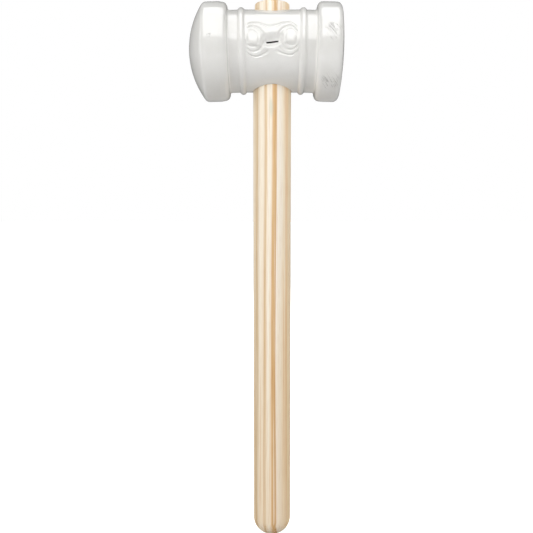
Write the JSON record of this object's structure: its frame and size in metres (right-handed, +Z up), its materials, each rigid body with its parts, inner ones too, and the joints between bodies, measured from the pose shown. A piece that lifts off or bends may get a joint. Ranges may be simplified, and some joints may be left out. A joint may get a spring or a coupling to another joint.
{
  "type": "rubber mallet",
  "caption": "Mallet with a white moulded rubber head, one striking face domed and one nearly flat, on a round pine handle that passes through the head and is held by a staple.",
  "frame": {"origin": "the middle of the straight grip, on the handle's axis, where the mallet is held", "axes": "+Z runs up the handle towards the head. X is the head's long axis: the domed face looks along -X and the flatter face along +X. The staple's crown is on the -Y side. Y is the object's shortest extent."},
  "size_m": [0.1173, 0.074, 0.4143],
  "materials": {
    "rubber": "white moulded rubber with a satin gloss",
    "pine": "pale straight-grained pine, sanded, unvarnished",
    "staple": "dull darkened steel wire"
  },
  "bodies": {
    "root": {"mallet_head": "rubber", "handle": "pine", "fixing_staple": "staple"}
  },
  "joints": []
}
